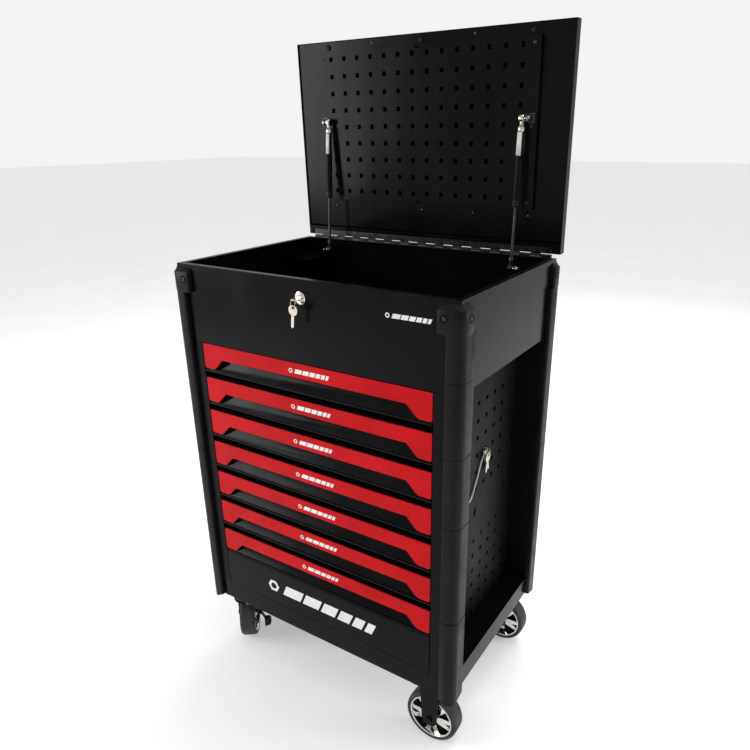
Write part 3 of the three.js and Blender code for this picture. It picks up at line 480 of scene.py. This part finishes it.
def build_wheel(name):
    """A tyre, a chrome rim with a five-spoke star on each side, and a dark ribbed core between them."""
    joint = JOINTS[f"wheel_spin_{name}"]
    low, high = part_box(f"tyre_{name}")
    centre = (low + high) / 2
    seat = facing(centre, Vector(joint["axis"]))
    body = f"wheel_{name}"

    bm = bmesh.new()
    wall = [(53.4, 19), (54.2, 20.1), (56, 20.5), (58.4, 20.3), (60.6, 19.1)]
    tread = [(62, 17.1), (62.9, 14), (63.4, 8), (63.5, 0)]
    section = wall + tread
    section += [(radius, -height) for radius, height in reversed(section[:-1])]
    lathe(bm, section + section[:1], seat, 96)
    tyre = piece(f"wheel_tyre_{name}", bm, RUBBER, body, sharp=55)
    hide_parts(f"tyre_{name}")

    bm = bmesh.new()
    rim = [(53.3, 18.7), (52.6, 19.7), (51, 19.9), (49.6, 18.9), (48.8, 15), (48, 6)]
    rim += [(radius, -height) for radius, height in reversed(rim)]
    lathe(bm, rim + rim[:1], seat, 80)
    for side in (1, -1):
        face = seat if side > 0 else seat @ Matrix.Rotation(math.pi, 4, "X")
        for spoke in range(SPOKES):
            turn = 2 * math.pi * spoke / SPOKES + math.pi / 2
            prism(bm, star_spoke(turn), 3, spoke_face, face)
        lathe(bm, [(15, 3), (15, 15), (13.6, 16.6), (9.5, 17), (9, 14), (5, 14)], face)
    star = piece(f"wheel_star_{name}", bm, CHROME, body, bevel=0.6 * MM)
    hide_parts(f"hub_{name}")

    bm = bmesh.new()
    lathe(bm, [(5, -3), (48.6, -3), (48.6, 3), (5, 3), (5, -3)], seat, 60)
    rib = [(14, -1), (48, -1), (48, 1), (14, 1)]
    for k in range(CORE_RIBS):
        angle = 2 * math.pi * (k + 0.5) / CORE_RIBS
        prism(bm, rib, -9, 9, seat @ around(angle))
    piece(f"wheel_core_{name}", bm, DARK, body)


for corner in CORNERS:
    build_wheel(corner)


def build_caster_fixings(name):
    """Four bolts under a caster's plate, round its swivel or, on a fixed caster, its wheel."""
    joint = JOINTS.get(f"swivel_{name}") or JOINTS[f"wheel_spin_{name}"]
    spot = Vector((*joint["pos_m"][:2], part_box("base_tray")[0].z - 3.3 * MM))
    bm = bmesh.new()
    for x in (-36, 36):
        for y in (-27, 27):
            bolt(bm, facing(spot + Vector((x, y, 0)) * MM, -UP), 5.5, 6)
    piece(f"caster_bolts_{name}", bm, ZINC, "cabinet")


for corner in CORNERS:
    build_caster_fixings(corner)


# ---------------------------------------------------------------- marks on the panels

PRINT_HEIGHT = 0.15


def mark(bm, matrix, size):
    """A plain geometric mark: a ring like a nut and six slanted bars that shorten to the right."""
    bore = 0.55
    outer = [(math.cos(math.pi * k / 3), math.sin(math.pi * k / 3)) for k in range(6)]
    for a, b in zip(outer, outer[1:] + outer[:1]):
        quad = [a, b, (b[0] * bore, b[1] * bore), (a[0] * bore, a[1] * bore)]
        prism(bm, [((x - 8.4) * size, y * size) for x, y in quad], 0, PRINT_HEIGHT, matrix)
    start = -6.7
    for length in (3.2, 2.8, 2.4, 2.0, 1.6, 1.2):
        end = start + length
        bar = [(start, -0.85), (end, -0.85), (end + 0.75, 0.85), (start + 0.75, 0.85)]
        prism(bm, [(x * size, y * size) for x, y in bar], 0, PRINT_HEIGHT, matrix)
        start = end + 0.45


def front_facing(x, y, z):
    """A matrix on a front panel: X along the panel, Y up and Z out of it, to the front."""
    return Matrix.Translation((x, y, z)) @ Matrix.Rotation(math.pi / 2, 4, "X")


for number in DRAWERS:
    low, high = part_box(f"drawer_trim_{number}")
    bm = bmesh.new()
    mark(bm, front_facing(0.008, low.y, high.z - 18 * MM), 5.6)
    piece(f"mark_trim_{number}", bm, PRINT, f"drawer_{number}")
low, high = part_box("kick_panel")
bm = bmesh.new()
mark(bm, front_facing(0.0, low.y, (low.z + high.z) / 2 + 1 * MM), 17)
low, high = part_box("top_box")
mark(bm, front_facing(0.245, low.y, high.z - 44 * MM), 5.2)
piece("mark_panels", bm, PRINT, "cabinet")


# ---------------------------------------------------------------- lid details

lid_joint = JOINTS["lid_hinge"]
LID_ANGLE = math.radians(lid_joint["range_deg"][1])
LID = Matrix.Translation(lid_joint["pos_m"]) @ Matrix.Rotation(-LID_ANGLE, 4, "X")
LINER_DEPTH = 4.0
BOARD_PROUD = -5.5


def on_lid(x, reach, depth):
    """A seat inside the lid, at a reach from the hinge and a depth below its rim plane."""
    return LID @ facing(Vector((x, -reach, depth)) * MM, Vector((0, 0, -1)))


bm = bmesh.new()
for x in (-260, 0, 266):
    lathe(bm, [(6.5, 0), (6.5, 1.6), (5.8, 2.8), (4, 3.4), (0, 3.6)], on_lid(x, 452, LINER_DEPTH))
piece("lid_bumpers", bm, PLASTIC, "lid")

bm = bmesh.new()
for x in (-133, 133):
    screw(bm, on_lid(x, 455, LINER_DEPTH), 3.4, 1.6)
for x in (-258, 0, 138, 274):
    screw(bm, on_lid(x, 83, LINER_DEPTH), 3.6, 1.8)
for x in (-272, 272):
    for reach in (112, 270, 428):
        screw(bm, on_lid(x, reach, BOARD_PROUD), 3.6, 1.8)
piece("lid_screws", bm, DARK_STEEL, "lid")

bm = bmesh.new()
for x in (-205, -102.5, 0, 102.5, 205, -308, 308):
    lathe(bm, [(3.2, 0), (3, 0.2), (1.2, 0.25), (0, 0.1)], on_lid(x, 11.5, -1.5), 20)
piece("hinge_rivets", bm, DARK_STEEL, "lid")


# ---------------------------------------------------------------- gas struts

STRUT_LENGTH = 312.9
STRUT_CROWN = 297
LABEL_SWEEP = (math.radians(-160), math.radians(140))


def build_strut(name, side):
    """A strut's label, crimps, collar, fitting and studs; heights run from its lower pivot."""
    pivot = Vector(JOINTS[f"strut_pivot_{name}"]["pos_m"])
    axis = Vector(JOINTS[f"strut_slide_{name}"]["axis"]).normalized()
    seat = facing(pivot, axis)
    crown = STRUT_CROWN
    bm = bmesh.new()
    rings = []
    for radius, height in ((7.5, crown - 58), (7.75, crown - 58), (7.75, crown - 11), (7.5, crown - 11)):
        rings.append(ring(bm, seat, radius * MM, height * MM, 30, sweep=LABEL_SWEEP))
    join_rings(bm, rings, closed=False)
    label = piece(f"strut_label_{name}", bm, LABEL, f"strut_cylinder_{name}")
    thicken = label.modifiers.new("paper", "SOLIDIFY")
    thicken.thickness = 0.1 * MM

    bm = bmesh.new()
    for height in (crown - 159, crown - 153):
        crimp = [(7.4, -1.4), (7.8, -0.7), (7.8, 0.7), (7.4, 1.4)]
        lathe(bm, [(radius, height + offset) for radius, offset in crimp], seat)
    piece(f"strut_crimps_{name}", bm, DARK_STEEL, f"strut_cylinder_{name}")

    bm = bmesh.new()
    lathe(bm, [(3.0, 16), (5.2, 16.4), (5.4, 23), (4.4, 25), (3.0, 25.4)], seat)
    piece(f"strut_collar_{name}", bm, DARK_STEEL, f"strut_rod_{name}")

    head = pivot + axis * STRUT_LENGTH * MM
    bm = bmesh.new()
    sleeve = [(7.4, -10), (7.8, -9.5), (7.8, -1), (5, 3.6), (5, 9)]
    lathe(bm, [(radius, crown + offset) for radius, offset in sleeve], seat)
    lathe(bm, [(7.4, -5.4), (7.9, -4.8), (7.9, 4.8), (7.4, 5.4)], facing(head, (1, 0, 0)))
    piece(f"strut_fitting_{name}", bm, NICKEL, f"strut_cylinder_{name}")

    for end, body in ((pivot, "cabinet"), (head, "lid")):
        bm = bmesh.new()
        outward = facing(end + Vector((side * 5.6 * MM, 0, 0)), (side, 0, 0))
        lathe(bm, [(0, 0), (3.6, 0.1), (5.4, 1.0), (5.8, 2.6), (4.6, 4.2), (0, 4.4)], outward)
        bolt(bm, facing(end + Vector((side * 12 * MM, 0, 0)), (side, 0, 0)), 5.2, 5.5)
        piece(f"strut_stud_{name}_{body}", bm, CHROME, body)


for name, side in SIDES.items():
    build_strut(name, side)


# ---------------------------------------------------------------- small fixings on the cabinet

BACK_SCREWS_ACROSS = (-0.31, -0.155, 0, 0.155, 0.31)

bm = bmesh.new()
low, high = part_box("back_panel")
for z in (low.z + 20 * MM, (low.z + high.z) / 2, high.z - 20 * MM):
    for x in BACK_SCREWS_ACROSS:
        screw(bm, facing((x, high.y, z), (0, 1, 0)), 4, 1.8)
low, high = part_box("top_box")
for x in BACK_SCREWS_ACROSS:
    screw(bm, facing((x, high.y, low.z + 15 * MM), (0, 1, 0)), 4, 1.8)
piece("back_screws", bm, DARK_STEEL, "cabinet")


# ---------------------------------------------------------------- stage, light and camera


def soft_light(name, place, target, width, height, power):
    lamp = bpy.data.lights.new(name, "AREA")
    lamp.shape = "RECTANGLE"
    lamp.size, lamp.size_y = width, height
    lamp.energy = power
    thing = bpy.data.objects.new(name, lamp)
    thing.location = place
    thing.rotation_mode = "QUATERNION"
    thing.rotation_quaternion = (Vector(target) - Vector(place)).to_track_quat("-Z", "Y")
    bpy.context.scene.collection.objects.link(thing)


bm = bmesh.new()
bmesh.ops.create_grid(bm, x_segments=1, y_segments=1, size=30)
floor_mesh = bpy.data.meshes.new("floor")
bm.to_mesh(floor_mesh)
bm.free()
floor = bpy.data.objects.new("floor", floor_mesh)
floor.location.z = -0.5 * MM
bpy.context.scene.collection.objects.link(floor)
floor_paint = Paint("pale floor", 0.6, specular=0.2)
floor_paint.colour(floor_paint.noise(3, 3), (0.80, 0.80, 0.80), (0.84, 0.84, 0.835))
floor_paint.rough(floor_paint.noise(8, 3), 0.5, 0.65)
floor_paint.shader.inputs["Emission Color"].default_value = (1, 1, 1, 1)
floor_paint.shader.inputs["Emission Strength"].default_value = 0.3
floor_mesh.materials.append(floor_paint.material)

soft_light("key", (-2.8, -2.2, 1.5), (0, 0, 0.7), 1.6, 1.6, 60)
soft_light("top", (0.6, 0.9, 3.8), (0, 0.3, 0.3), 2.4, 2.4, 60)
soft_light("right", (3.2, 1.4, 1.5), (0, 0, 0.7), 1.2, 2.2, 40)
soft_light("back", (-0.8, 3.4, 2.4), (0, 0, 0.7), 2.0, 1.6, 40)

world = bpy.data.worlds.new("studio")
bpy.context.scene.world = world
world.use_nodes = True
nodes, links = world.node_tree.nodes, world.node_tree.links
surround = nodes["Background"]
surround.inputs["Color"].default_value = (1.0, 1.0, 1.0, 1)
surround.inputs["Strength"].default_value = 0.6
backdrop = nodes.new("ShaderNodeBackground")
backdrop.inputs["Color"].default_value = (1.0, 1.0, 1.0, 1)
backdrop.inputs["Strength"].default_value = 0.9
chooser = nodes.new("ShaderNodeMixShader")
links.new(nodes.new("ShaderNodeLightPath").outputs["Is Camera Ray"], chooser.inputs["Fac"])
links.new(surround.outputs["Background"], chooser.inputs[1])
links.new(backdrop.outputs["Background"], chooser.inputs[2])
links.new(chooser.outputs["Shader"], nodes["World Output"].inputs["Surface"])

bpy.context.scene.view_settings.view_transform = "Standard"

camera_data = bpy.data.cameras.new("camera")
camera_data.sensor_width = 36
camera_data.lens = CAMERA_LENS
camera_data.shift_x, camera_data.shift_y = CAMERA_SHIFT
camera = bpy.data.objects.new("camera", camera_data)
back = Vector((
    math.sin(CAMERA_AZIMUTH) * math.cos(CAMERA_ELEVATION),
    -math.cos(CAMERA_AZIMUTH) * math.cos(CAMERA_ELEVATION),
    math.sin(CAMERA_ELEVATION),
))
right = UP.cross(back).normalized()
above = back.cross(right)
turned_right = right * math.cos(CAMERA_ROLL) + above * math.sin(CAMERA_ROLL)
turned_above = back.cross(turned_right)
axes = Matrix((turned_right, turned_above, back)).transposed()
camera.matrix_world = Matrix.Translation(CAMERA_PLACE) @ axes.to_4x4()
bpy.context.scene.collection.objects.link(camera)
bpy.context.scene.camera = camera
